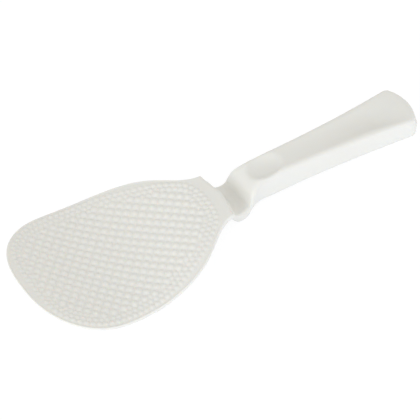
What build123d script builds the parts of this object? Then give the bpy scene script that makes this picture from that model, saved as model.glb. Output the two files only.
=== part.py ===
from build123d import *
import math
import os

os.makedirs("parts", exist_ok=True)

# Frame: X runs from the tip of the blade (-X) to the butt of the handle (+X), Y across, Z up.
# The origin is on the table, under the middle of the paddle's length and width.
# Everything is in millimetres and degrees.

# Lengths along the paddle, measured from the middle of the foot under the neck
blade_reach = 107.0          # to the tip of the blade
handle_reach = 96.8          # to the butt of the handle
belly_set_back = 57.0        # to the lowest point of the blade's scoop
crest_set_back = 11.0        # to where the blade runs level before the neck
root_set_back = 17.0         # to where its underside runs level
shoulder_set_back = 6.6      # to the blade's straight back edge
neck_run = 1.4               # from the foot to where the neck starts to narrow
waist_run = 13.9             # to the narrowest place of the handle
arch_run = 16.0              # to where the underside of the handle straightens
heel_length = 8.0            # flat under the butt that rests on the table

# Widths across the paddle
blade_width = 70.0
shoulder_width = 26.8
neck_width = 19.2
waist_width = 13.9
butt_width = 23.3

# Heights above the table, of the upper surface unless the name says otherwise
tip_height = 21.0
belly_height = 9.0
crest_height = 14.4
valley_height = 6.1
nose_height = 18.9           # the handle's top line, carried on to the neck
butt_height = 10.9
foot_top_height = 5.6        # underside of the arch behind the foot
arch_height = 3.7            # underside of the handle where it straightens

# Thickness of the moulding
tip_thickness = 1.4
belly_thickness = 2.0
crest_thickness = 2.8
wall = 2.2                   # side walls of the hollow handle
roof = 2.0                   # least plastic between the thumb rest and the cavity
heel_wall = 5.6              # solid end behind the cavity

# The bent neck, which is also the foot
tip_slope = 24.0             # how steeply the blade rises at its tip
leg_slope = 69.0             # inner faces of the neck's two legs
foot_slope = 54.0            # outer faces
crest_radius = 2.2
valley_radius = 3.4
nose_radius = 10.0
root_radius = 4.5
foot_radius = 3.0
foot_land = 1.6              # flat under the foot that rests on the table
arch_radius = 4.0
arch_blend_radius = 30.0
heel_blend_radius = 20.0
butt_end_radius = 18.0
butt_corner_radius = 3.0
handle_edge_radius = 0.8

# The long thumb hollow in the top of the handle: a shallow trough that widens to the butt,
# and a rounder, deeper thumb rest at its front
trough_axis_height = 24.0    # of the axis the trough is turned about, above the top line
trough_start = 13.0          # from the nose's corner along the top line
trough_middle = 45.0
trough_flare_gap = 15.9      # from its widest place to the butt
trough_end_gap = 5.9         # from its end to the butt
trough_depth = 0.9
flare_depth = 1.5
rest_axis_height = 9.5       # of the axis the thumb rest is turned about
rest_start = 3.0
rest_end = 21.5
rest_depth = 1.9

# The cover that closes the underside of the handle
cover_thickness = 1.6
cover_ledge = 1.0            # width of the rebate that the cover seats in
cover_clearance = 0.1
cover_recess = 0.2           # the cover lies this far inside the underside
cavity_run = 19.0            # from the foot to the front of the cavity
cavity_corner_radius = 2.0

# Bosses in the body and the cover's pins that press into them
boss_diameter = 5.2
pin_diameter = 2.6
pin_clearance = 0.05         # around a pin
pin_length = 3.0
pin_gap = 0.5                # past a pin's end, and between a boss and the cover
pin_inset = 4.0              # from the ends of the cavity
pin_chamfer = 0.4            # lead-in at the pins' ends

# Steel weight that keeps the handle down on the table, and what holds it
weight_length = 34.0
weight_width = 8.0
weight_thickness = 4.0
weight_gap = 6.5             # from the weight's end to the middle of the rear pin
weight_edge = 0.5
weight_clearance = 0.25
rib_thickness = 1.2
saddle_inset = 6.0           # from the weight's ends to the ribs above it
pad_height = 0.6             # pads on the cover that the weight lies on
pad_length = 4.0

overrun = 5.0                # how far every cutting shape runs past what it cuts

# Places along X that the pieces share
foot_x = (blade_reach - handle_reach) / 2
tip_x = foot_x - blade_reach
belly_x = foot_x - belly_set_back
crest_x = foot_x - crest_set_back
root_x = foot_x - root_set_back
shoulder_x = foot_x - shoulder_set_back
waist_x = foot_x + waist_run
arch_x = foot_x + arch_run
butt_x = foot_x + handle_reach
heel_x = butt_x - heel_length
cavity_front_x = foot_x + cavity_run
cavity_end_x = butt_x - heel_wall
butt_corner_x = butt_x - butt_end_radius + math.sqrt(butt_end_radius**2 - (butt_width / 2) ** 2)

# The inner faces of the neck would meet at this height, under the valley's arc
apex_z = valley_height + valley_radius - valley_radius / math.cos(math.radians(leg_slope))
leg_tangent = math.tan(math.radians(leg_slope))
foot_tangent = math.tan(math.radians(foot_slope))
foot_corner = foot_land / 2 + foot_radius * math.tan(math.radians(foot_slope / 2))
nose_x = foot_x + (nose_height - apex_z) / leg_tangent
root_z = crest_height - crest_thickness
tip_tangent = math.tan(math.radians(tip_slope))

# Planes that lie along the handle: its top line, the cavity's ceiling and the underside.
# Each one's local X runs towards the butt.
top_fall = (nose_height - butt_height) / (butt_x - nose_x)
top_slope = math.degrees(math.atan(top_fall))
top_length = math.hypot(butt_x - nose_x, nose_height - butt_height)
under_slope = math.degrees(math.atan2(arch_height, heel_x - arch_x))
top_plane = Plane((nose_x, 0, nose_height)).rotated((0, top_slope, 0))
ceiling_plane = top_plane.offset(-rest_depth - roof)
under_plane = Plane((arch_x, 0, arch_height)).rotated((0, under_slope, 0))
cover_plane = under_plane.offset(cover_recess)
inside_plane = cover_plane.offset(cover_thickness)
weight_plane = inside_plane.offset(pad_height)

# Side outline of the body: crest, valley, nose and top of the handle, then back underneath
side_top = [
    (crest_x, crest_height),
    (foot_x - (crest_height - apex_z) / leg_tangent, crest_height),
    (foot_x, apex_z),
    (nose_x, nose_height),
    (butt_x + overrun, butt_height - overrun * top_fall),
]
side_under = [
    (root_x, root_z),
    (foot_x - foot_corner - root_z / foot_tangent, root_z),
    (foot_x - foot_corner, 0),
    (foot_x + foot_corner, 0),
    (foot_x + foot_corner + foot_top_height / foot_tangent, foot_top_height),
    (arch_x, arch_height),
    (heel_x, 0),
    (butt_x + overrun, 0),
]
under_radii = [
    root_radius,
    foot_radius,
    foot_radius,
    arch_radius,
    arch_blend_radius,
    heel_blend_radius,
]

# Half of the blade seen from above, from the tip: shares of its length from the shoulder
# to the tip, and of half its width, at the places that its curve runs through
blade_outline_shares = [
    (0.985, 0.378),
    (0.912, 0.744),
    (0.795, 0.951),
    (0.640, 0.998),
    (0.430, 0.947),
    (0.204, 0.699),
]
blade_points = [
    (shoulder_x - along * (shoulder_x - tip_x), across * blade_width / 2)
    for along, across in blade_outline_shares
]


def sway(start, end, turn_x):
    """Two arcs that run along X at start and at end and meet smoothly at turn_x."""
    turn_share = (turn_x - start[0]) / (end[0] - start[0])
    turn = (turn_x, start[1] + turn_share * (end[1] - start[1]))
    first_arc = TangentArc(start, turn, tangent=(1, 0))
    TangentArc(turn, end, tangent=first_arc % 1)


def handle_side(front_x, rear_x, inset, side):
    """One side of the handle seen from above, as far inside the outer face as inset."""
    ends = []
    for x in (front_x, rear_x):
        # the handle widens from its waist as the square of the way to the butt
        way = (x - waist_x) / (butt_corner_x - waist_x)
        width = waist_width + (butt_width - waist_width) * way**2
        ends.append((x, side * (width / 2 - inset)))
    TangentArc(*ends, tangent=(1, 0))
    return ends


def handle_hollow(reach):
    """Outline of the cavity seen from above, grown by reach."""
    with BuildSketch() as hollow:
        with BuildLine():
            front, rear = handle_side(cavity_front_x - reach, cavity_end_x + reach, wall - reach, 1)
            Polyline(rear, (rear[0], 0), (front[0], 0), front)
        make_face()
        mirror(about=Plane.XZ)
        ends = hollow.vertices().group_by(Axis.X)
        fillet(ends[0] + ends[-1], cavity_corner_radius + reach)
    return hollow.sketch


# The blade seen from above, which ends in a straight edge across the neck
with BuildSketch() as blade_view:
    with BuildLine():
        blade_side = [(shoulder_x, shoulder_width / 2), *reversed(blade_points)]
        Spline(
            *blade_side,
            (tip_x, 0),
            *[(x, -y) for x, y in reversed(blade_side)],
            tangents=[(-1, 0), (1, 0)],
        )
        Line((shoulder_x, -shoulder_width / 2), (shoulder_x, shoulder_width / 2))
    make_face()

# The neck and the handle seen from above
with BuildSketch() as handle_view:
    with BuildLine():
        Line((shoulder_x, -neck_width / 2), (shoulder_x, neck_width / 2))
        for side in (1, -1):
            neck_end = (foot_x + neck_run, side * neck_width / 2)
            waist = (waist_x, side * waist_width / 2)
            Line((shoulder_x, side * neck_width / 2), neck_end)
            sway(neck_end, waist, (neck_end[0] + waist_x) / 2)
            handle_side(waist_x, butt_corner_x, 0, side)
        ThreePointArc(
            (butt_corner_x, butt_width / 2),
            (butt_x, 0),
            (butt_corner_x, -butt_width / 2),
        )
    make_face()
    fillet(handle_view.vertices().group_by(Axis.X)[-1], butt_corner_radius)

# The moulding's side view, past its tip and its butt
with BuildSketch(Plane.XZ.offset(-blade_width / 2 - overrun)) as side_view:
    with BuildLine():
        past_tip = (tip_x - overrun, tip_height + overrun * tip_tangent)
        Spline(
            past_tip,
            (tip_x, tip_height),
            (belly_x, belly_height),
            (crest_x, crest_height),
            tangents=[(1, -tip_tangent), (1, 0)],
        )
        FilletPolyline(*side_top, radius=[crest_radius, valley_radius, nose_radius])
        Line(side_top[-1], side_under[-1])
        FilletPolyline(*side_under, radius=under_radii)
        under_past_tip = (past_tip[0], past_tip[1] - tip_thickness)
        Spline(
            (root_x, root_z),
            (belly_x, belly_height - belly_thickness),
            (tip_x, tip_height - tip_thickness),
            under_past_tip,
            tangents=[(-1, 0), (-1, tip_tangent)],
        )
        Line(under_past_tip, past_tip)
    make_face()

# Places along the underside's plane, from where it straightens: the cover's two pins, the
# middle of the weight, the ribs round it and the pads under it
pin_front_run = cavity_front_x + pin_inset - arch_x
pin_rear_run = cavity_end_x - pin_inset - arch_x
weight_run = pin_rear_run - weight_gap - weight_length / 2
pin_places = [(pin_front_run, 0), (pin_rear_run, 0)]
stop_offset = weight_length / 2 + weight_clearance + rib_thickness / 2
saddle_offset = weight_length / 2 - saddle_inset
rib_offsets = (-stop_offset, -saddle_offset, saddle_offset, stop_offset)
rib_places = [(weight_run + rib_offset, 0) for rib_offset in rib_offsets]
pad_places = [(weight_run - saddle_offset, 0), (weight_run + saddle_offset, 0)]

# The hollow inside the handle, with the ribs and bosses left out of it
with BuildPart() as cavity:
    with BuildSketch(Plane.XY.offset(-overrun)):
        add(handle_hollow(0))
    extrude(amount=nose_height + 2 * overrun)
    split(bisect_by=ceiling_plane, keep=Keep.BOTTOM)
    # Ribs across the cavity, which stop the weight's ends and hold it down
    with BuildSketch(weight_plane):
        with Locations(*rib_places):
            Rectangle(rib_thickness, butt_width)
    extrude(amount=nose_height, mode=Mode.SUBTRACT)
    # The weight's own space in the ribs
    with BuildSketch(weight_plane):
        with Locations((weight_run, 0)):
            Rectangle(weight_length + 2 * weight_clearance, weight_width + 2 * weight_clearance)
    extrude(amount=weight_thickness + weight_clearance)
    # Bosses that hang from the ceiling, and their bores
    with BuildSketch(inside_plane.offset(pin_gap)):
        with Locations(*pin_places):
            Circle(boss_diameter / 2)
    extrude(amount=nose_height, mode=Mode.SUBTRACT)
    with BuildSketch(inside_plane):
        with Locations(*pin_places):
            Circle(pin_diameter / 2 + pin_clearance)
    extrude(amount=pin_length + pin_gap)

# The rebate that the cover seats in
with BuildPart() as seat:
    with BuildSketch(Plane.XY.offset(-overrun)):
        add(handle_hollow(cover_ledge))
    extrude(amount=nose_height)
    split(bisect_by=inside_plane, keep=Keep.BOTTOM)

trough_flare = top_length - trough_flare_gap
trough_end = top_length - trough_end_gap

# The trough and the thumb rest are turned about axes above the handle's top line.
# Seen from the side, each is an arc or a curve between its ends on that line.
hollow_plane = Plane(top_plane.origin, x_dir=top_plane.x_dir, z_dir=-top_plane.y_dir)
with BuildPart() as trough:
    with BuildSketch(hollow_plane):
        with BuildLine():
            Spline(
                (trough_start, 0),
                (trough_middle, -trough_depth),
                (trough_flare, -flare_depth),
                (trough_end, 0),
            )
            Polyline(
                (trough_end, 0),
                (trough_end, trough_axis_height),
                (trough_start, trough_axis_height),
                (trough_start, 0),
            )
        make_face()
    revolve(axis=Axis(top_plane.offset(trough_axis_height).origin, top_plane.x_dir))

with BuildPart() as thumb_rest:
    with BuildSketch(hollow_plane):
        with BuildLine():
            ThreePointArc(
                (rest_start, 0),
                ((rest_start + rest_end) / 2, -rest_depth),
                (rest_end, 0),
            )
            Polyline(
                (rest_end, 0),
                (rest_end, rest_axis_height),
                (rest_start, rest_axis_height),
                (rest_start, 0),
            )
        make_face()
    revolve(axis=Axis(top_plane.offset(rest_axis_height).origin, top_plane.x_dir))

# The side view carried across the full width and trimmed to each view from above
with BuildPart() as blade:
    extrude(side_view.sketch, amount=blade_width + 2 * overrun)
    with BuildSketch(Plane.XY.offset(-overrun)):
        add(blade_view.sketch)
    extrude(amount=tip_height + nose_height + overrun, mode=Mode.INTERSECT)
    # Beside the neck the blade keeps its own thickness
    with BuildSketch(Plane.XY.offset(-overrun)):
        for side in (1, -1):
            with Locations(((root_x + shoulder_x) / 2, side * (neck_width + blade_width) / 4)):
                Rectangle(shoulder_x - root_x, (blade_width - neck_width) / 2)
    extrude(amount=root_z + overrun, mode=Mode.SUBTRACT)

with BuildPart() as paddle_body:
    extrude(side_view.sketch, amount=blade_width + 2 * overrun)
    with BuildSketch(Plane.XY.offset(-overrun)):
        add(handle_view.sketch)
    extrude(amount=tip_height + nose_height + overrun, mode=Mode.INTERSECT)
    # The outer edges are rounded all along, from the blade's back edge and round the butt
    handle_edges = (
        paddle_body.edges()
        .filter_by_position(Axis.X, shoulder_x, butt_x, inclusive=(False, True))
        .filter_by(Axis.Y, reverse=True)
        .filter_by(Axis.Z, reverse=True)
    )
    fillet(handle_edges, handle_edge_radius)
    add(blade.part)
    add(trough.part, mode=Mode.SUBTRACT)
    add(thumb_rest.part, mode=Mode.SUBTRACT)
    add(cavity.part, mode=Mode.SUBTRACT)
    add(seat.part, mode=Mode.SUBTRACT)

with BuildPart() as handle_cover:
    with BuildSketch(Plane.XY.offset(-overrun)):
        add(handle_hollow(cover_ledge - cover_clearance))
    extrude(amount=nose_height)
    split(bisect_by=inside_plane, keep=Keep.BOTTOM)
    split(bisect_by=cover_plane, keep=Keep.TOP)
    # Pads that the weight lies on
    with BuildSketch(inside_plane):
        with Locations(*pad_places):
            Rectangle(pad_length, weight_width)
    extrude(amount=pad_height)
    # Pins that press into the body's bosses
    with BuildSketch(inside_plane):
        with Locations(*pin_places):
            Circle(pin_diameter / 2)
    extrude(amount=pin_length)
    pin_ends = handle_cover.edges().group_by(Axis(inside_plane.origin, inside_plane.z_dir))[-1]
    chamfer(pin_ends, pin_chamfer)

with BuildPart() as balance_weight:
    with BuildSketch(weight_plane):
        with Locations((weight_run, 0)):
            Rectangle(weight_length, weight_width)
    extrude(amount=weight_thickness)
    chamfer(balance_weight.edges(), weight_edge)

paddle_body.part.label = "paddle_body"
handle_cover.part.label = "handle_cover"
balance_weight.part.label = "balance_weight"
export_step(paddle_body.part, "parts/paddle_body.step")
export_step(handle_cover.part, "parts/handle_cover.step")
export_step(balance_weight.part, "parts/balance_weight.step")

# How the paddle balances on its foot, with plastic and steel in grams per cubic millimetre
plastic_density = 0.905e-3
steel_density = 7.85e-3
piece_densities = (
    (paddle_body, plastic_density),
    (handle_cover, plastic_density),
    (balance_weight, steel_density),
)
mass = sum(piece.part.volume * density for piece, density in piece_densities)
moment = sum(
    piece.part.volume * density * piece.part.center(CenterOf.MASS).X
    for piece, density in piece_densities
)
print("mass in grams", round(mass, 1))
print("balance point behind the foot in mm", round(moment / mass - foot_x, 1))
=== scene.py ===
import math

import bpy
import numpy as np
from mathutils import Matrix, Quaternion, Vector


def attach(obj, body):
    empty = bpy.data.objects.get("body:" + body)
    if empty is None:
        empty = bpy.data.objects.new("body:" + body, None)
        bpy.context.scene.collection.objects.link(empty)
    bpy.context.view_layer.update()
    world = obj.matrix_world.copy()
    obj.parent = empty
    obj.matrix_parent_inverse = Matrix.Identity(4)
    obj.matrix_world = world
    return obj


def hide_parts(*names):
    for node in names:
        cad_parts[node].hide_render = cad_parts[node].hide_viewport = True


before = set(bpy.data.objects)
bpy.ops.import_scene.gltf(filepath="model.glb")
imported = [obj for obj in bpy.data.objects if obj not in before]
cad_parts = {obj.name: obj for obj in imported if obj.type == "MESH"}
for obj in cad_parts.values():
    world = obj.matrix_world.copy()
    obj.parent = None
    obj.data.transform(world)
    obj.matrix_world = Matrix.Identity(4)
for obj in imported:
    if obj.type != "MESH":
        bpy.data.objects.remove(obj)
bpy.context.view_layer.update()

mm = 0.001
hair = 1e-9  # keeps a division away from nought

# All values are in millimetres and degrees. A function's v is the dictionary it works from
halfLength = 101.9

# Side view of the moulding
sideView = dict(
    tip=(-halfLength, 21.0),
    tipSlope=24.0,
    belly=(-51.9, 9.0),
    crest=(-5.9, 14.4),
    topCorners=[(-0.42, 14.4), (5.1, 0.01), (12.35, 18.9)],
    topRadii=[2.2, 3.4, 10.0],
    buttTop=(halfLength, 10.9),
    tipThickness=1.4,
    bellyThickness=2.0,
    root=(-11.9, 11.6),
    underCorners=[(-5.66, 11.6), (2.77, 0.0), (7.43, 0.0), (11.5, 5.6), (21.1, 3.7), (93.9, 0.0)],
    underRadii=[4.5, 3.0, 3.0, 4.0, 30.0, 20.0],
    buttUnder=(halfLength, 0.0),
)

# The outline seen from above, one half of it
planView = dict(
    bladePoints=[
        (-100.39, 13.23),
        (-93.07, 26.04),
        (-81.32, 33.29),
        (-65.76, 34.93),
        (-44.67, 33.15),
        (-21.98, 24.47),
    ],
    shoulder=(-2.45, 13.4),
    shoulderRun=1.5,  # the blade's curve goes straight over this last stretch
    shoulderRadius=0.9,
    armpit=(-1.85, 9.6),
    armpitRadius=0.5,
    neckEnd=6.5,
    neckOverlap=1.0,  # the leg's own line joins the outline this far before the neck's end
    waist=(19.0, 6.95),
    flare=(97.62, 11.65),
    buttRadius=18.0,
    buttFootRadius=28.0,
    buttCorner=3.0,
)

# Radii of the rounded edges along the length: above, under the blade, and under the neck and handle
upperEdge = dict(
    places=[-halfLength, -60.0, -8.0, 3.0, 7.0, 10.0, 14.0, 20.0, 30.0, halfLength],
    radii=[0.62, 0.75, 0.7, 0.7, 1.8, 2.8, 3.0, 2.6, 2.0, 1.5],
)
bladeEdge = dict(places=[-halfLength, -60.0, halfLength], radii=[0.62, 0.8, 0.8])
lowerEdge = dict(places=[-8.0, 0.0, 2.0, 9.0, 14.0, halfLength], radii=[0.8, 1.2, 2.0, 2.0, 0.9, 0.8])

# The crest is bowed: towards its sides it turns down into the neck nearer the tip
crestBow = dict(amount=1.8, width=7.0, rise=(-15.0, -5.0), fall=(1.0, 6.5))

# Rows across the moulding: where they meet its upper line, the blade's lower corner and the
# lower line, and how many lie up to the next station
stations = dict(
    upper=[-52.0, -20.0, -5.6, -3.5, -1.2, 1.4, 5.1, 9.2, 13.2, 30.0, 60.0],
    middle=[-52.0, -20.0, -7.9, -3.5, -1.2, -0.1, 5.1, 9.2, 12.8, 30.0, 60.0],
    lower=[-52.0, -20.0, -7.9, -6.1, -4.6, -1.6, 5.1, 9.2, 12.4, 30.0, 60.0],
    rows=[112, 72, 34, 8, 18, 10, 14, 12, 14, 22, 20, 24],
    backEdge=4,  # the station where the blade's back edge starts; it ends at the next one
)
gridSize = dict(
    columns=152,
    arcSteps=6,
    tipBowLength=36.0,
    buttBowLength=14.0,
    creaseAngle=48.0,
)

# How many points the curves are worked out at
curveSteps = dict(spline=1200, fieldEdge=900, arc=40, sway=200, flare=200, buttCorner=60, buttEnd=120)


def smoothStep(x, start, end):
    # three squares less two cubes of the way from start to end, level at both
    t = np.clip((x - start) / (end - start), 0, 1)
    return t * t * (3 - 2 * t)


def lengthAlong(line):
    # the length run so far at each point of a line
    return np.r_[0, np.cumsum(np.hypot(*np.diff(line, axis=0).T))]


def pointAt(line, lengths):
    # the points that lie so far along a line
    s = lengthAlong(line)
    return np.stack([np.interp(lengths, s, line[:, 0]), np.interp(lengths, s, line[:, 1])], -1)


def lineNormal(line, x):
    # the unit normal of a line, a quarter turn from its direction, where it passes x
    tangent = np.gradient(line, axis=0)
    tangent /= np.maximum(np.hypot(*tangent.T), hair)[:, None]
    along, up = (np.interp(x, line[:, 0], part) for part in tangent.T)
    normal = np.stack([-up, along], -1)
    return normal / np.linalg.norm(normal, axis=-1, keepdims=True)


def nearestGap(points, others):
    # from each point, the distance to the nearest of the others
    return np.sqrt(((points[:, None] - others[None]) ** 2).sum(-1).min(1))


def splineThrough(points, startDirection, endDirection, count=curveSteps["spline"]):
    # a cubic from each point to the next; the slopes at the points make the curvature run on
    # evenly, and at both ends they are given
    p = np.array(points, float)
    t = lengthAlong(p)
    h = np.diff(t)[:, None]
    n = len(p)
    rise = np.diff(p, axis=0) / h
    system = np.eye(n)
    target = np.zeros((n, 2))
    target[0] = np.array(startDirection) / np.hypot(*startDirection)
    target[-1] = np.array(endDirection) / np.hypot(*endDirection)
    inner = np.arange(1, n - 1)
    system[inner, inner - 1] = 1 / h[:-1, 0]
    system[inner, inner] = 2 / h[:-1, 0] + 2 / h[1:, 0]
    system[inner, inner + 1] = 1 / h[1:, 0]
    target[1:-1] = 3 * (rise[:-1] / h[:-1] + rise[1:] / h[1:])
    d = np.linalg.solve(system, target)
    at = np.linspace(0, t[-1], count)
    k = np.clip(np.searchsorted(t, at, "right") - 1, 0, n - 2)
    u = ((at - t[k]) / h[k, 0])[:, None]
    a, b, step = p[k], p[k + 1], h[k]
    return (
        (2 * u**3 - 3 * u**2 + 1) * a
        + (u**3 - 2 * u**2 + u) * step * d[k]
        + (3 * u**2 - 2 * u**3) * b
        + (u**3 - u**2) * step * d[k + 1]
    )


def roundedLine(points, radii):
    # straight lines whose inner corners become arcs tangent to both sides
    p = np.array(points, float)
    parts = [p[:1]]
    for corner, before, after, radius in zip(p[1:-1], p[:-2], p[2:], radii):
        a = (corner - before) / np.hypot(*(corner - before))
        b = (after - corner) / np.hypot(*(after - corner))
        turn = math.acos(np.clip(a @ b, -1, 1))
        start = corner - a * radius * math.tan(turn / 2)
        inward = (b - a) / np.hypot(*(b - a))
        centre = corner + inward * radius / math.cos(turn / 2)
        end = corner + b * radius * math.tan(turn / 2)
        t = np.linspace(0, 1, curveSteps["arc"])[:, None]
        swing = np.sin((1 - t) * turn) * (start - centre) + np.sin(t * turn) * (end - centre)
        parts.append(centre + swing / math.sin(turn))
    parts.append(p[-1:])
    return np.vstack(parts)


def sway(start, end, turnX):
    # two parabola arcs, level at both ends, that meet at turnX
    x = np.linspace(start[0], end[0], curveSteps["sway"])
    t = (x - start[0]) / (end[0] - start[0])
    k = (turnX - start[0]) / (end[0] - start[0])
    g = np.where(t < k, t**2 / k, 1 - (1 - t) ** 2 / (1 - k))
    return np.column_stack([x, start[1] + (end[1] - start[1]) * g])


def upperLine(v):
    # blade spline from the tip to the crest, then down and up through the neck to the butt
    slope = math.tan(math.radians(v["tipSlope"]))
    blade = splineThrough([v["tip"], v["belly"], v["crest"]], (1, -slope), (1, 0))
    rest = roundedLine([v["crest"], *v["topCorners"], v["buttTop"]], v["topRadii"])
    return np.vstack([blade, rest[1:]])


def lowerLine(v):
    # the same under the moulding: the blade is thinner at its tip than at its belly
    slope = math.tan(math.radians(v["tipSlope"]))
    tipUnder = (v["tip"][0], v["tip"][1] - v["tipThickness"])
    bellyUnder = (v["belly"][0], v["belly"][1] - v["bellyThickness"])
    blade = splineThrough([tipUnder, bellyUnder, v["root"]], (1, -slope), (1, 0))
    rest = roundedLine([v["root"], *v["underCorners"], v["buttUnder"]], v["underRadii"])
    return np.vstack([blade, rest[1:]])


def handleHalf(x, v):
    # the handle widens from its waist as the square of the way to the butt
    way = (x - v["waist"][0]) / (v["flare"][0] - v["waist"][0])
    return v["waist"][1] + (v["flare"][1] - v["waist"][1]) * np.clip(way, 0, None) ** 2


def halfOutline(v):
    # half of the outline from the middle of the tip to the middle of the butt: the blade's spline,
    # the rounded back corners, a parabola sway to the waist, the flare, and two arcs round the butt
    blade = splineThrough([(sideView["tip"][0], 0), *v["bladePoints"], v["shoulder"]], (0, 1), (1, 0))
    before = blade[blade[:, 0] < v["shoulder"][0] - v["shoulderRun"]]
    neck = (v["neckEnd"], v["armpit"][1])
    radii = [v["shoulderRadius"], v["armpitRadius"]]
    back = roundedLine([before[-1], v["shoulder"], v["armpit"], neck], radii)
    narrowing = sway(neck, v["waist"], (v["neckEnd"] + v["waist"][0]) / 2)
    r, corner = v["buttRadius"], v["buttCorner"]
    wide = handleHalf(v["flare"][0] - corner / 2, v)
    centreX = sideView["buttTop"][0] - r
    cornerX = centreX + math.sqrt((r - corner) ** 2 - (wide - corner) ** 2)
    x = np.linspace(v["waist"][0], cornerX, curveSteps["flare"])
    spreading = np.column_stack([x, handleHalf(x, v) * wide / handleHalf(cornerX, v)])
    meet = math.atan2(wide - corner, cornerX - centreX)
    turn = np.linspace(math.pi / 2, meet, curveSteps["buttCorner"])
    cornerArc = np.column_stack([cornerX + corner * np.cos(turn), wide - corner + corner * np.sin(turn)])
    sweep = np.linspace(meet, 0, curveSteps["buttEnd"])
    endArc = np.column_stack([centreX + r * np.cos(sweep), r * np.sin(sweep)])
    return np.vstack([before, back[1:], narrowing[1:], spreading[1:], cornerArc[1:], endArc[1:]])


def outlineParts(v):
    # the tip's end, the long side and the butt's end, which meet where the outline runs at 45 degrees
    outline = halfOutline(v)
    direction = np.gradient(outline, axis=0)
    steep = np.abs(direction[:, 1]) > np.abs(direction[:, 0])
    tipCorner = int(np.argmin(steep))
    buttCorner = len(outline) - int(np.argmin(steep[::-1])) - 1
    return outline[: tipCorner + 1], outline[tipCorner : buttCorner + 1], outline[buttCorner:][::-1]


print("lines of the moulding")
upper = upperLine(sideView)
lower = lowerLine(sideView)
noseX, noseZ = sideView["topCorners"][-1]
handleFall = math.atan2(noseZ - sideView["buttTop"][1], sideView["buttTop"][0] - noseX)

# Below the rim the butt's end is fuller; the neck's leg keeps its width under the blade
tipEnd, sideLine, buttEnd = outlineParts(planView)
footLine, footEnd = outlineParts({**planView, "buttRadius": planView["buttFootRadius"]})[1:]
legStart = planView["neckEnd"] - planView["neckOverlap"]
neckLine = np.vstack([(footLine[0, 0], planView["armpit"][1]), footLine[footLine[:, 0] > legStart]])

# The bumps on the blade, measured along its upper face from the tip and across it
bumps = dict(
    fieldEdge=[
        (5.2, 0),
        (5.4, 6.0),
        (5.9, 12.8),
        (7.4, 18.0),
        (11.0, 23.7),
        (16.0, 27.5),
        (21.3, 30.2),
        (27.3, 31.7),
        (37.0, 32.2),
        (49.3, 31.7),
        (61.0, 29.4),
        (72.0, 25.1),
        (80.5, 21.2),
        (87.2, 17.0),
        (91.2, 13.9),
        (93.6, 11.2),
        (95.2, 7.2),
        (95.9, 0),
    ],
    endX=-4.0,  # no bump lies past here
    rows=2,  # along the border, and a broken third one fills up to the lattice
    rowStep=2.35,
    borderPitch=2.85,
    borderRadius=1.6,
    borderHeight=0.58,
    fillerClear=2.1,  # from a filler bump to the lattice
    latticeAlong=5.2,
    latticeAcross=5.08,
    latticeStart=(1.93, 1.14),
    latticeRows=(-2, 24),
    latticeColumns=(-10, 11),
    latticeInset=3.7,  # from a lattice bump to the field's edge
    latticeClear=1.9,  # and to the last border row
    radius=2.1,
    height=0.84,
    softness=1.6,
    probe=0.2,  # a row's direction is taken from this far ahead to this far behind
)

# A narrow ledge along the blade's rim lies a little below the field of bumps
rimLedge = dict(
    width=1.5,
    slope=0.6,
    drop=0.16,
    fade=(-16.0, -7.0),
    sampling=6,  # every sixth point of the outline is close enough
)

# The thumb rest and the trough behind it, measured along the handle's top from the nose
hollows = dict(
    troughRuns=[12.0, 22.0, 34.0, 43.0, 54.0, 64.0, 71.0, 78.0, 86.0],
    troughDepths=[0, 0.5, 0.8, 1.1, 1.6, 2.5, 2.8, 1.5, 0],
    troughHalfWidths=[5.0, 5.6, 5.9, 6.2, 6.5, 7.0, 8.0, 9.4, 10.2],
    troughFlatness=2.5,
    troughSoftness=1.6,
    restMiddle=8.0,
    restFront=7.0,
    restBack=12.2,
    restHalfWidth=6.8,
    restDepth=2.75,
    restFlatness=3,
    restSoftness=1.3,
    crossingShare=0.3,
)


def ledgeDrop(x, y, v):
    # the full drop up to the ledge's width from the outline, then a smooth step up to the field
    side = sideLine[sideLine[:, 0] < v["fade"][1]]
    rim = np.vstack([tipEnd[:: v["sampling"]], side[:: v["sampling"]]])
    flat = np.stack([x, np.abs(y)], -1).reshape(-1, 2)
    gap = nearestGap(flat.astype(np.float32), rim.astype(np.float32)).reshape(x.shape)
    onLedge = 1 - smoothStep(gap, v["width"], v["width"] + v["slope"])
    return v["drop"] * onLedge * (1 - smoothStep(x, *v["fade"]))


def staggeredRows(closed, v):
    # rows of evenly spaced points inside a closed line, each half a pitch on from the last
    total = lengthAlong(closed)[-1]
    count = round(total / v["borderPitch"])
    rows = []
    for row in range(v["rows"] + 1):
        at = (np.arange(count) + row % 2 / 2) * total / count
        ahead, behind = pointAt(closed, at + v["probe"]), pointAt(closed, at - v["probe"])
        run = (ahead - behind) / np.hypot(*(ahead - behind).T)[:, None]
        inward = np.column_stack([run[:, 1], -run[:, 0]])
        rows.append(pointAt(closed, at) + inward * v["rowStep"] * row)
    return rows


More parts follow.
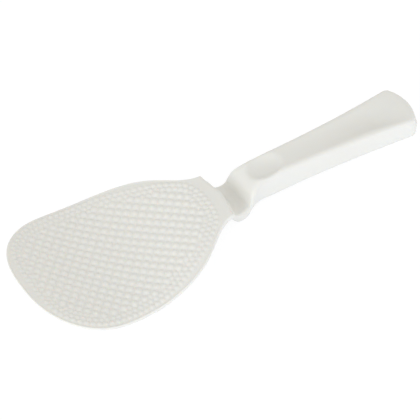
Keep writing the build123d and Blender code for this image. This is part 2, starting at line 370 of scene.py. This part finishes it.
def bumpPlaces(v):
    # two staggered rows that follow the field's edge, a lattice turned 45 degrees inside them, and
    # a last row between the two wherever the lattice leaves room
    half = splineThrough(v["fieldEdge"], (0, 1), (0, -1), curveSteps["fieldEdge"])
    closed = np.vstack([half, half[::-1][1:-1] * (1, -1), half[:1]])
    rows = staggeredRows(closed, v)
    filler = rows.pop()
    i, j = np.meshgrid(np.arange(*v["latticeRows"]), np.arange(*v["latticeColumns"]), indexing="ij")
    s0, y0 = v["latticeStart"]
    whole = np.stack([s0 + i * v["latticeAlong"], y0 + j * v["latticeAcross"]], -1).reshape(-1, 2)
    lattice = np.vstack([whole, whole + (v["latticeAlong"] / 2, v["latticeAcross"] / 2)])
    inside = np.abs(lattice[:, 1]) < np.interp(lattice[:, 0], half[:, 0], half[:, 1], left=0, right=0)
    inset = nearestGap(lattice, closed) > v["latticeInset"]
    clear = nearestGap(lattice, rows[-1]) > v["latticeClear"]
    lattice = lattice[inside & inset & clear]
    border = np.vstack([*rows, filler[nearestGap(filler, lattice) > v["fillerClear"]]])
    sizes = np.r_[np.full(len(lattice), v["radius"]), np.full(len(border), v["borderRadius"])]
    heights = np.r_[np.full(len(lattice), v["height"]), np.full(len(border), v["borderHeight"])]
    print("bumps:", len(lattice), "in the lattice,", len(border), "in the border rows")
    return np.vstack([lattice, border]), sizes, heights


def bumpHeight(s, y, v):
    # each bump is a low dome with a soft foot: one less the squared share of its radius, raised to
    # the softness and times its height
    places, sizes, heights = bumpPlaces(v)
    ds = s.reshape(-1, 1).astype(np.float32) - places[:, 0].astype(np.float32)
    dy = y.reshape(-1, 1).astype(np.float32) - places[:, 1].astype(np.float32)
    share = (ds**2 + dy**2) / (sizes**2).astype(np.float32)
    dome = heights.astype(np.float32) * np.clip(1 - share, 0, None) ** v["softness"]
    return dome.max(1).reshape(s.shape).astype(float)


def hollowDepth(x, y, v):
    # the trough's section is a flattened bell, and the thumb rest is an oval dish with a level
    # floor; each is one less a power of the share of its width, raised to its softness. The deeper
    # one counts, with a share of the other
    run = (x - noseX) / math.cos(handleFall)
    depth = np.interp(run, v["troughRuns"], v["troughDepths"])
    wide = np.interp(run, v["troughRuns"], v["troughHalfWidths"])
    bell = np.clip(1 - np.abs(y / wide) ** v["troughFlatness"], 0, None)
    trough = depth * bell ** v["troughSoftness"]
    length = np.where(run < v["restMiddle"], v["restFront"], v["restBack"])
    reach = np.sqrt(((run - v["restMiddle"]) / length) ** 2 + (y / v["restHalfWidth"]) ** 2)
    dish = v["restDepth"] * np.clip(1 - reach ** v["restFlatness"], 0, None) ** v["restSoftness"]
    return np.maximum(trough, dish) + v["crossingShare"] * np.minimum(trough, dish)


def upperPlace(x, y):
    # the crest's bow: a point of the upper face belongs further along the upper line by an amount
    # that grows with its distance from the middle, as one less a bell curve
    v = crestBow
    window = smoothStep(x, *v["rise"]) * (1 - smoothStep(x, *v["fall"]))
    return x + v["amount"] * (1 - np.exp(-((y / v["width"]) ** 2))) * window


def upperHeight(x, y):
    # the upper line's height at the place that the point belongs to
    return np.interp(upperPlace(x, y), upper[:, 0], upper[:, 1])


def lowerHeight(x, y):
    # the lower face is level across, so y makes no difference to it
    return np.interp(x, lower[:, 0], lower[:, 1])


def halfWidth(x):
    # from the middle to the outline's long side
    return np.interp(x, sideLine[:, 0], sideLine[:, 1])


def loopOf(rows, columns):
    # the rows and columns of a grid's border, once round
    i = np.r_[
        np.zeros(columns - 1, int),
        np.arange(rows - 1),
        np.full(columns - 1, rows - 1),
        np.arange(rows - 1, 0, -1),
    ]
    j = np.r_[
        np.arange(columns - 1),
        np.full(rows - 1, columns - 1),
        np.arange(columns - 1, 0, -1),
        np.zeros(rows - 1, int),
    ]
    return i, j


def endCurve(end, y):
    # points of a rounded end at the widths y, and how fast the end runs along X there
    lean = np.sign(y) * np.interp(np.abs(y), end[:, 1], np.gradient(end[:, 0], end[:, 1]))
    return np.column_stack([np.interp(np.abs(y), end[:, 1], end[:, 0]), y]), lean


def sideLoop(x, columns, line, lastEnd):
    # once round the outline, from rows at x and evenly spaced columns, with the outward direction
    across = np.linspace(-1, 1, columns)
    tip, tipLean = endCurve(tipEnd, across * tipEnd[-1, 1])
    butt, buttLean = endCurve(lastEnd, -across * lastEnd[-1, 1])
    tipOut = np.column_stack([-np.ones(columns), tipLean])
    buttOut = np.column_stack([np.ones(columns), -buttLean])
    slope = np.gradient(line[:, 1], line[:, 0] + hair * np.arange(len(line)))
    right = np.column_stack([x, np.interp(x, line[:, 0], line[:, 1])])
    rightOut = np.column_stack([-np.interp(x, line[:, 0], slope), np.ones(len(x))])
    mirror = (1, -1)
    points = np.vstack([tip[:-1], right[:-1], butt[:-1], right[::-1][:-1] * mirror])
    outward = np.vstack([tipOut[:-1], rightOut[:-1], buttOut[:-1], rightOut[::-1][:-1] * mirror])
    return points, outward / np.hypot(*outward.T)[:, None]


def ruledGrid(height, loop, marks, columns):
    # the inside of a loop: ruled between its two long sides and bowed towards both ends, by the
    # square of how near the end is
    rows = len(marks)
    tip = loop[:columns]
    right = loop[columns - 1 : columns - 1 + rows]
    butt = loop[columns + rows - 2 : 2 * columns + rows - 2][::-1]
    left = np.vstack([loop[:1], loop[: 2 * columns + rows - 4 : -1]])
    across = np.linspace(0, 1, columns)[None, :, None]
    grid = left[:, None] * (1 - across) + right[:, None] * across
    tipFade = np.clip(1 - (marks - marks[0]) / gridSize["tipBowLength"], 0, 1)[:, None, None] ** 2
    buttFade = np.clip(1 - (marks[-1] - marks) / gridSize["buttBowLength"], 0, 1)[:, None, None] ** 2
    grid = grid + tipFade * (tip[None] - grid[:1]) + buttFade * (butt[None] - grid[-1:])
    return np.dstack([grid, height(grid[..., 0], grid[..., 1])])


def gridQuads(rows, columns):
    # the faces between the points of a grid
    k = np.arange(rows * columns).reshape(rows, columns)
    return np.stack([k[:-1, :-1], k[1:, :-1], k[1:, 1:], k[:-1, 1:]], -1).reshape(-1, 4)


def meshObject(name, points, quads, others):
    # an object at the origin with its place in its mesh, from points in millimetres
    mesh = bpy.data.meshes.new(name)
    faces = [*quads.tolist(), *(list(f) for f in others)]
    mesh.from_pydata((points * mm).tolist(), [], faces)
    mesh.validate()
    mesh.shade_smooth()
    obj = bpy.data.objects.new(name, mesh)
    bpy.context.scene.collection.objects.link(obj)
    return obj


# How the side wall lies between the upper and the lower face
sideWall = dict(
    handleEdgeShare=0.9,  # the most of the upper half's depth that its rounding takes on the handle
    bladeEdgeShare=0.46,  # and on the blade, whose lower corner takes as much
    legMiddleShare=0.5,  # the middle's place on the leg, from the upper edge to the lower one
    bandShares=(0.3, 0.15, 0),  # where the corner's points lie once it is flat, from the middle up
    arcMiddleShare=0.29,  # a quarter circle's middle lies this part of its radius from both sides
    legFade=(-36.0, -8.0),  # between these the underside's line draws in to the neck's leg
    underInset=3.0,
    hipInset=2.5,
    hipOut=0.5,
    hipShare=0.25,  # the hip's place on the leg, from the middle to the lower edge
    lowerEdgeShare=0.6,  # the most of that way that the lower rounding takes
    innerShare=1.4,  # the lower face starts this many radii in from the wall
)


def sectionRows(v):
    # the places of the rows in side view: where each meets the upper edge, the middle of the wall
    # and the lower edge, with the wall's direction and depth between the first two
    ends = (("upper", sideLine), ("middle", footLine), ("lower", footLine))
    upperX, middleX, lowerX = (np.r_[sideLine[0, 0], v[key], line[-1, 0]] for key, line in ends)
    at = np.r_[0, np.cumsum(v["rows"])]
    rows = np.arange(at[-1] + 1)
    marks = np.interp(rows, at, np.interp(upperX, upper[:, 0], lengthAlong(upper)))
    underMarks = np.interp(rows, at, np.interp(lowerX, lower[:, 0], lengthAlong(lower)))
    up, low = pointAt(upper, marks), pointAt(lower, underMarks)
    up[:, 1] = upperHeight(up[:, 0], halfWidth(up[:, 0]))

    # one on the blade, falling to nothing across its back edge
    edgeStart, edgeEnd = at[v["backEdge"]], at[v["backEdge"] + 1]
    slab = np.interp(rows, [edgeStart, edgeEnd], [1, 0])

    # the middle follows the blade's underside, then swings over to halfway down the leg
    rootX, rootZ = sideView["root"]
    x = np.interp(rows, at, middleX)
    middle = np.column_stack([x, np.where(x < rootX, lowerHeight(x, 0), rootZ)])
    fade = np.clip((rows - edgeEnd) / v["rows"][v["backEdge"] + 1], 0, 1)[:, None]
    halfway = (low - up) * sideWall["legMiddleShare"] * fade
    onLeg = up + (middle[edgeEnd] - up[edgeEnd]) * (1 - fade) + halfway
    middle = np.where((rows > edgeEnd)[:, None], onLeg, middle)

    # the wall stands upright at the butt's end
    through = up - middle
    depth = np.hypot(*through.T)
    through[:, 0] *= 1 - smoothStep(marks, marks[-1] - gridSize["buttBowLength"], marks[-1])
    through /= np.hypot(*through.T)[:, None]
    return dict(
        marks=marks,
        underMarks=underMarks,
        up=up,
        middle=middle,
        low=low,
        slab=slab,
        through=through,
        depth=depth,
    )


def upperRings(section, rowOf, columns, v):
    # the upper edge, a quarter circle from the wall over to the upper face
    loop, outward = sideLoop(section["up"][:, 0], columns, sideLine, buttEnd)
    most = v["handleEdgeShare"] - (v["handleEdgeShare"] - v["bladeEdgeShare"]) * section["slab"]
    radius = np.interp(loop[:, 0], upperEdge["places"], upperEdge["radii"])
    radius = np.minimum(radius, (most * section["depth"])[rowOf])[:, None]
    rings = []
    for turn in np.linspace(0, math.pi / 2, gridSize["arcSteps"] + 1):
        flat = loop - outward * radius * (1 - math.cos(turn))
        down = section["through"][rowOf] * radius * (1 - math.sin(turn))
        z = upperHeight(*flat.T)
        rings.append(np.column_stack([flat[:, 0] - down[:, 0], flat[:, 1], z - down[:, 1]]))
    return rings[::-1]


def wallLoops(columns, v):
    # loops round the moulding from its upper face to its lower one. The blade's lower corner
    # runs on past the neck as a wing; inside it the wall goes on down the neck's leg
    section = sectionRows(stations)
    middle, low = section["middle"], section["low"]
    rowOf = loopOf(len(middle), columns)[0]
    slab = section["slab"][rowOf, None]
    through = section["through"][rowOf]
    depth = section["depth"][rowOf, None]
    border, *rings = upperRings(section, rowOf, columns, v)

    # the blade's lower corner, which flattens into the wall past the back edge
    wing, wingOut = sideLoop(middle[:, 0], columns, footLine, footEnd)
    wingZ = middle[rowOf, 1]
    onBlade = middle[rowOf, 0] < sideView["root"][0]
    corner = np.interp(wing[:, 0], bladeEdge["places"], bladeEdge["radii"])[:, None]
    corner = np.minimum(corner, v["bladeEdgeShare"] * depth)

    def cornerPoint(inset, lift, band):
        flat = wing - wingOut * inset * corner * slab
        z = np.where(onBlade, lowerHeight(*flat.T), wingZ)
        rise = through * (lift * corner * slab + band * depth * (1 - slab))
        return np.column_stack([flat[:, 0] + rise[:, 0], flat[:, 1], z + rise[:, 1]])

    # a quarter circle is drawn by its two ends and its middle
    arc = v["arcMiddleShare"]
    quarter = ((0, 1), (arc, arc), (1, 0))
    corners = [cornerPoint(*place, band) for place, band in zip(quarter, v["bandShares"])]

    # where the wall turns down the leg, and under the blade the same line on its flat underside
    neck, neckOut = sideLoop(low[:, 0], columns, neckLine, footEnd)
    flank, flankOut = sideLoop(low[:, 0], columns, footLine, footEnd)
    share = smoothStep(low[rowOf, :1], *v["legFade"])
    toward = middle - low
    fall = toward * v["hipShare"] * (1 - section["slab"][:, None])
    upright = sideLoop(middle[:, 0] - fall[:, 0], columns, neckLine, footEnd)[0]
    upright = upright + np.sign(upright) * (0, v["hipOut"]) * slab
    hip = (wing - wingOut * v["hipInset"]) * (1 - share) + upright * share
    hip = np.column_stack([hip, np.where(onBlade, lowerHeight(*hip.T), wingZ - fall[rowOf, 1])])

    # the lower edge, another quarter circle
    ground = (flank - flankOut * v["underInset"]) * (1 - share) + neck * share
    groundOut = flankOut * (1 - share) + neckOut * share
    groundOut /= np.hypot(*groundOut.T)[:, None]
    reach = np.hypot(*toward.T)
    edge = np.interp(low[:, 0], lowerEdge["places"], lowerEdge["radii"])
    upward = np.minimum(edge, v["lowerEdgeShare"] * reach) / np.maximum(reach, hair)
    lift = (toward * upward[:, None])[rowOf]
    radius = edge[rowOf, None]

    def groundPoint(inset, rise):
        flat = ground - groundOut * inset * radius
        z = lowerHeight(*flat.T)
        return np.column_stack([flat[:, 0] + rise * lift[:, 0], flat[:, 1], z + rise * lift[:, 1]])

    edges = [groundPoint(*place) for place in quarter]
    inner = groundPoint(v["innerShare"], 0)[:, :2]
    upperBand, lowerBand = (rings[-1] + corners[0]) / 2, (hip + edges[0]) / 2
    loops = np.stack([*rings, upperBand, *corners, hip, lowerBand, *edges])
    return section, border[:, :2], loops, inner


def dressFace(top):
    # the upper face moves along its normal: up by the bumps, down by the ledge and the hollows
    x, y = top[..., 0], top[..., 1]
    s = np.interp(x, upper[:, 0], lengthAlong(upper))
    onBlade = x[:, 0] < bumps["endX"]
    lift = -hollowDepth(x, y, hollows)
    lift[onBlade] += bumpHeight(s[onBlade], y[onBlade], bumps)
    lift[onBlade] -= ledgeDrop(x[onBlade], y[onBlade], rimLedge)
    normal = lineNormal(upper, upperPlace(x, y))
    top[..., 0] += normal[..., 0] * lift
    top[..., 2] += normal[..., 1] * lift


def sinkRounding(rings):
    # the hollows reach a little way over the rounded edge, and fade as the sine of its turn
    fade = np.sin(np.linspace(math.pi / 2, 0, len(rings) + 1))[1:, None]
    sink = fade * hollowDepth(rings[..., 0], rings[..., 1], hollows)
    normal = lineNormal(upper, rings[..., 0])
    rings[..., 0] -= normal[..., 0] * sink
    rings[..., 2] -= normal[..., 1] * sink


def mouldingMesh():
    # upper face, side wall and lower face joined into one closed skin
    columns = gridSize["columns"] + 1
    section, border, loops, inner = wallLoops(columns, sideWall)
    top = ruledGrid(upperHeight, border, section["marks"], columns)
    bottom = ruledGrid(lowerHeight, inner[::2], section["underMarks"][::2], columns // 2 + 1)
    dressFace(top)
    sinkRounding(loops[: gridSize["arcSteps"]])

    # the side wall's faces, from the upper face's border down to the last loop
    levels, count = loops.shape[:2]
    start = top.shape[0] * top.shape[1]
    under = start + levels * count
    i, j = loopOf(*top.shape[:2])
    rings = np.vstack([i * columns + j, start + np.arange(levels * count).reshape(levels, count)])
    after = np.roll(rings, -1, axis=1)
    skirt = np.stack([rings[:-1], after[:-1], after[1:], rings[1:]], -1).reshape(-1, 4)

    # the lower face has half as many points round it, so triangles join it to the wall
    i, j = loopOf(*bottom.shape[:2])
    coarse = under + i * bottom.shape[1] + j
    even, odd = rings[-1][::2], rings[-1][1::2]
    nextEven, nextCoarse = np.roll(even, -1), np.roll(coarse, -1)
    stitch = np.vstack(
        [
            np.column_stack([even, odd, coarse]),
            np.column_stack([odd, nextCoarse, coarse]),
            np.column_stack([odd, nextEven, nextCoarse]),
        ]
    )
    quads = np.vstack([gridQuads(*top.shape[:2]), skirt, gridQuads(*bottom.shape[:2])[:, ::-1] + under])
    points = np.vstack([part.reshape(-1, 3) for part in (top, loops, bottom)])
    return points, quads, stitch


# The opening in the underside of the handle: a seat for the cover and the cavity above it
opening = dict(
    frontX=24.1,
    endX=96.3,
    wall=2.2,
    ledge=1.0,
    corner=2.0,
    seatHeight=1.8,
    ceilingDrop=3.9,
    below=6.0,
    steps=121,
)


def openingOutline(v, grow):
    # seen from above, the handle's outline less its wall, grown by so much, with rounded corners
    frontX, endX, corner = v["frontX"] - grow, v["endX"] + grow, v["corner"] + grow
    turn = math.pi * np.linspace(0, 1, v["steps"])
    x = frontX + (endX - frontX) * (0.5 - 0.5 * np.cos(turn))
    y = handleHalf(x, planView) - v["wall"] + grow
    fromEnd = np.minimum(x - frontX, endX - x)
    y -= corner - np.sqrt(np.clip(corner**2 - np.clip(corner - fromEnd, 0, None) ** 2, 0, None))
    return np.vstack([np.column_stack([x, y]), np.column_stack([x, -y])[::-1]])


def cutterMesh(v):
    # two prisms, one on the other, that meet at the cover's inner face
    (archX, archHeight), (heelX, heelHeight) = sideView["underCorners"][-2:]
    slope = (archHeight - heelHeight) / (heelX - archX)
    seat, cavity = openingOutline(v, v["ledge"]), openingOutline(v, 0)

    def seatFace(x):
        return archHeight - (x - archX) * slope + v["seatHeight"]

    def ceiling(x):
        return noseZ - (x - noseX) * math.tan(handleFall) - v["ceilingDrop"]

    rings = [
        np.column_stack([seat, np.full(len(seat), -v["below"])]),
        np.column_stack([seat, seatFace(seat[:, 0])]),
        np.column_stack([cavity, seatFace(cavity[:, 0])]),
        np.column_stack([cavity, ceiling(cavity[:, 0])]),
    ]
    count = len(seat)
    k = np.arange(len(rings) * count).reshape(-1, count)
    after = np.roll(k, -1, axis=1)
    quads = np.stack([k[:-1], k[1:], after[1:], after[:-1]], -1).reshape(-1, 4)
    return np.vstack(rings), quads, [k[0].tolist(), k[-1][::-1].tolist()]


def cutOpening(obj, v):
    # the cut is made once, and its cutter and modifier go again
    cutter = meshObject("handle_opening_cut", *cutterMesh(v))
    cut = obj.modifiers.new("opening", "BOOLEAN")
    cut.operation = "DIFFERENCE"
    cut.solver = "EXACT"
    cut.object = cutter
    bpy.context.view_layer.update()
    evaluated = obj.evaluated_get(bpy.context.evaluated_depsgraph_get())
    cutMesh = bpy.data.meshes.new_from_object(evaluated)
    obj.modifiers.clear()
    obj.data = cutMesh
    bpy.data.objects.remove(cutter)
    obj.data.shade_smooth()
    obj.data.set_sharp_from_angle(angle=math.radians(gridSize["creaseAngle"]))


print("moulding")
moulding = meshObject("paddle_moulding", *mouldingMesh())
cutOpening(moulding, opening)
print("moulding faces", len(moulding.data.polygons))


def linear(hexColour):
    # an sRGB hex colour as the linear numbers the shader takes
    c = np.array([int(hexColour[i : i + 2], 16) for i in (1, 3, 5)]) / 255
    return (*np.where(c <= 0.04045, c / 12.92, ((c + 0.055) / 1.055) ** 2.4).tolist(), 1)


def addNode(tree, kind, settings=(), inputs=(), links=()):
    # one node with its settings, its socket values and the outputs that feed it
    node = tree.nodes.new(kind)
    for key, value in dict(settings).items():
        setattr(node, key, value)
    for key, value in dict(inputs).items():
        node.inputs[key].default_value = value
    for key, source in dict(links).items():
        tree.links.new(source, node.inputs[key])
    return node


def newMaterial(name):
    # a material without nodes yet, and its node tree
    material = bpy.data.materials.new(name)
    material.use_nodes = True
    material.node_tree.nodes.clear()
    return material, material.node_tree


# The colour drifts between the two over clouds that are centimetres wide
bodyPlastic = dict(
    name="polypropyleneMoulded",
    colour="#EAE9E2",
    warmColour="#E7E5DD",
    cloudSize=40.0,
    cloudDetail=2.0,
    grainSize=0.35,
    grainDetail=3.0,
    grainDepth=0.02,
    grainStrength=0.4,
    ior=1.49,
    roughness=0.42,
    roughnessSpread=0.04,
    subsurface=0.25,
    subsurfaceDepth=1.2,
    subsurfaceSpread=(1.0, 0.85, 0.65),
)


def mouldedPolypropylene(v):
    # natural white polypropylene, injection moulded in a fine satin tool: a soft broad shine,
    # a little light carried under the surface, and a grain too fine to see as dots
    material, tree = newMaterial(v["name"])
    place = addNode(tree, "ShaderNodeTexCoord").outputs["Object"]
    cloud = addNode(
        tree,
        "ShaderNodeTexNoise",
        inputs={"Scale": 1 / (v["cloudSize"] * mm), "Detail": v["cloudDetail"]},
        links={"Vector": place},
    )
    tint = addNode(
        tree,
        "ShaderNodeMix",
        settings={"data_type": "RGBA"},
        inputs={6: linear(v["colour"]), 7: linear(v["warmColour"])},
        links={0: cloud.outputs["Fac"]},
    )
    grain = addNode(
        tree,
        "ShaderNodeTexNoise",
        inputs={"Scale": 1 / (v["grainSize"] * mm), "Detail": v["grainDetail"]},
        links={"Vector": place},
    )
    least, most = v["roughness"] - v["roughnessSpread"], v["roughness"] + v["roughnessSpread"]
    gloss = addNode(
        tree,
        "ShaderNodeMapRange",
        inputs={"To Min": least, "To Max": most},
        links={"Value": cloud.outputs["Fac"]},
    )
    relief = addNode(
        tree,
        "ShaderNodeBump",
        inputs={"Strength": v["grainStrength"], "Distance": v["grainDepth"] * mm},
        links={"Height": grain.outputs["Fac"]},
    )
    shader = addNode(
        tree,
        "ShaderNodeBsdfPrincipled",
        inputs={
            "IOR": v["ior"],
            "Subsurface Weight": v["subsurface"],
            "Subsurface Radius": v["subsurfaceSpread"],
            "Subsurface Scale": v["subsurfaceDepth"] * mm,
        },
        links={
            "Base Color": tint.outputs[2],
            "Roughness": gloss.outputs["Result"],
            "Normal": relief.outputs["Normal"],
        },
    )
    addNode(tree, "ShaderNodeOutputMaterial", links={"Surface": shader.outputs["BSDF"]})
    return material


weightSteel = dict(
    name="zincPlatedSteel",
    colour="#8E959B",
    paleColour="#B4BABF",
    crystalSize=2.5,
    leastRoughness=0.32,
    mostRoughness=0.5,
)


def platedSteel(v):
    # mild steel bar with a dull zinc plating: grey-blue metal with faint crystal clouds
    material, tree = newMaterial(v["name"])
    place = addNode(tree, "ShaderNodeTexCoord").outputs["Object"]
    crystals = addNode(
        tree,
        "ShaderNodeTexVoronoi",
        inputs={"Scale": 1 / (v["crystalSize"] * mm)},
        links={"Vector": place},
    )
    tint = addNode(
        tree,
        "ShaderNodeMix",
        settings={"data_type": "RGBA"},
        inputs={6: linear(v["colour"]), 7: linear(v["paleColour"])},
        links={0: crystals.outputs["Distance"]},
    )
    gloss = addNode(
        tree,
        "ShaderNodeMapRange",
        inputs={"To Min": v["leastRoughness"], "To Max": v["mostRoughness"]},
        links={"Value": crystals.outputs["Distance"]},
    )
    shader = addNode(
        tree,
        "ShaderNodeBsdfPrincipled",
        inputs={"Metallic": 1.0},
        links={"Base Color": tint.outputs[2], "Roughness": gloss.outputs["Result"]},
    )
    addNode(tree, "ShaderNodeOutputMaterial", links={"Surface": shader.outputs["BSDF"]})
    return material


print("materials")
whitePlastic = mouldedPolypropylene(bodyPlastic)
moulding.data.materials.clear()
moulding.data.materials.append(whitePlastic)
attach(moulding, "root")
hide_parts("paddle_body")
for nodeName, material in (("handle_cover", whitePlastic), ("balance_weight", platedSteel(weightSteel))):
    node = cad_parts[nodeName]
    node.data.materials.clear()
    node.data.materials.append(material)


def directionTo(azimuth, elevation):
    # a unit vector towards a place round the paddle: azimuth from the front, elevation from the table
    a, e = math.radians(azimuth), math.radians(elevation)
    return Vector((math.sin(a) * math.cos(e), -math.cos(a) * math.cos(e), math.sin(e)))


def aimAt(target, obj, v):
    # the object stands off from its target by the distance and looks back at it
    back = directionTo(v["azimuth"], v["elevation"])
    obj.location = (Vector(target) + back * v["distance"]) * mm
    obj.rotation_mode = "QUATERNION"
    roll = Quaternion((0.0, 0.0, 1.0), math.radians(v["roll"]))
    obj.rotation_quaternion = (-back).to_track_quat("-Z", "Y") @ roll
    bpy.context.scene.collection.objects.link(obj)


# Where the photograph was taken from, through a long lens
photo = dict(
    azimuth=-33.8,
    elevation=51.4,
    roll=0.15,
    distance=1000.0,
    target=(-6.29, 0.1, 6.1),
    pixelsPerMm=2.27,
    pixels=420,
    sensorWidth=36.0,
    nearest=10.0,
    farthest=100000.0,
)


def addCamera(v):
    # the lens follows from how many pixels a millimetre takes up at the camera's distance
    camera = bpy.data.cameras.new("photoCamera")
    camera.sensor_width = v["sensorWidth"]
    camera.lens = v["sensorWidth"] * v["pixelsPerMm"] * v["distance"] / v["pixels"]
    camera.clip_start, camera.clip_end = v["nearest"] * mm, v["farthest"] * mm
    obj = bpy.data.objects.new("photoCamera", camera)
    aimAt(v["target"], obj, v)
    bpy.context.scene.camera = obj


floorSheet = dict(
    size=6000.0,
    drop=0.05,  # it lies this far under the table's level
    paperColour="#F4F4F4",
    white=1.08,
    whiteShare=0.8,
    glow=0.25,
    glowColour="#E3EAFF",
)


def addFloor(v):
    # an opal sheet lit from below: it reads as white to the camera, still takes a faint shadow,
    # and gives the paddle's sides its own soft light
    corner = v["size"] / 2
    spread = [(-corner, -corner), (corner, -corner), (corner, corner), (-corner, corner)]
    mesh = bpy.data.meshes.new("floor")
    mesh.from_pydata([(x * mm, y * mm, -v["drop"] * mm) for x, y in spread], [], [(0, 1, 2, 3)])
    obj = bpy.data.objects.new("floor", mesh)
    bpy.context.scene.collection.objects.link(obj)
    material, tree = newMaterial("opalSheet")
    rays = addNode(tree, "ShaderNodeLightPath")
    paper = addNode(tree, "ShaderNodeBsdfDiffuse", inputs={"Color": linear(v["paperColour"])})
    light = addNode(tree, "ShaderNodeEmission", inputs={"Color": (1, 1, 1, 1), "Strength": v["white"]})
    share = addNode(
        tree,
        "ShaderNodeMath",
        settings={"operation": "MULTIPLY"},
        inputs={1: v["whiteShare"]},
        links={0: rays.outputs["Is Camera Ray"]},
    )
    seen = addNode(
        tree,
        "ShaderNodeMixShader",
        links={0: share.outputs[0], 1: paper.outputs[0], 2: light.outputs[0]},
    )
    level = addNode(
        tree,
        "ShaderNodeMapRange",
        inputs={"To Min": v["glow"], "To Max": 0.0},
        links={"Value": rays.outputs["Is Camera Ray"]},
    )
    spill = addNode(
        tree,
        "ShaderNodeEmission",
        inputs={"Color": linear(v["glowColour"])},
        links={"Strength": level.outputs["Result"]},
    )
    lit = addNode(tree, "ShaderNodeAddShader", links={0: seen.outputs[0], 1: spill.outputs[0]})
    # from below it is clear, so that the paddle's underside can be looked at
    faces = addNode(tree, "ShaderNodeNewGeometry")
    clear = addNode(tree, "ShaderNodeBsdfTransparent")
    sheet = addNode(
        tree,
        "ShaderNodeMixShader",
        links={0: faces.outputs["Backfacing"], 1: lit.outputs[0], 2: clear.outputs[0]},
    )
    addNode(tree, "ShaderNodeOutputMaterial", links={"Surface": sheet.outputs[0]})
    mesh.materials.append(material)


whiteRoom = dict(light=0.81, seen=1.0)


def addWorld(v):
    # the room is pure white to the camera and lights the paddle a little less
    world = bpy.data.worlds.new("whiteRoom")
    world.use_nodes = True
    tree = world.node_tree
    tree.nodes.clear()
    rays = addNode(tree, "ShaderNodeLightPath")
    strength = addNode(
        tree,
        "ShaderNodeMapRange",
        inputs={"To Min": v["light"], "To Max": v["seen"]},
        links={"Value": rays.outputs["Is Camera Ray"]},
    )
    room = addNode(
        tree,
        "ShaderNodeBackground",
        inputs={"Color": (1, 1, 1, 1)},
        links={"Strength": strength.outputs["Result"]},
    )
    addNode(tree, "ShaderNodeOutputWorld", links={"Surface": room.outputs[0]})
    bpy.context.scene.world = world


# Two large lamps low beside the camera, power in watts
softbox = dict(elevation=20, roll=0, distance=1200.0, size=800.0)
softboxes = [
    dict(softbox, name="leftSoftbox", azimuth=-70, power=4.4, colour="#EDF4FF"),
    dict(softbox, name="frontSoftbox", azimuth=20, power=2.1, colour="#E4EDFF"),
]


def addLamp(v):
    # a square area lamp that looks at the middle of the table
    lamp = bpy.data.lights.new(v["name"], "AREA")
    lamp.size = v["size"] * mm
    lamp.energy = v["power"]
    lamp.color = linear(v["colour"])[:3]
    aimAt((0.0, 0.0, 0.0), bpy.data.objects.new(v["name"], lamp), v)


print("camera and light")
addCamera(photo)
addFloor(floorSheet)
addWorld(whiteRoom)
for box in softboxes:
    addLamp(box)
bpy.context.scene.view_settings.view_transform = "Standard"
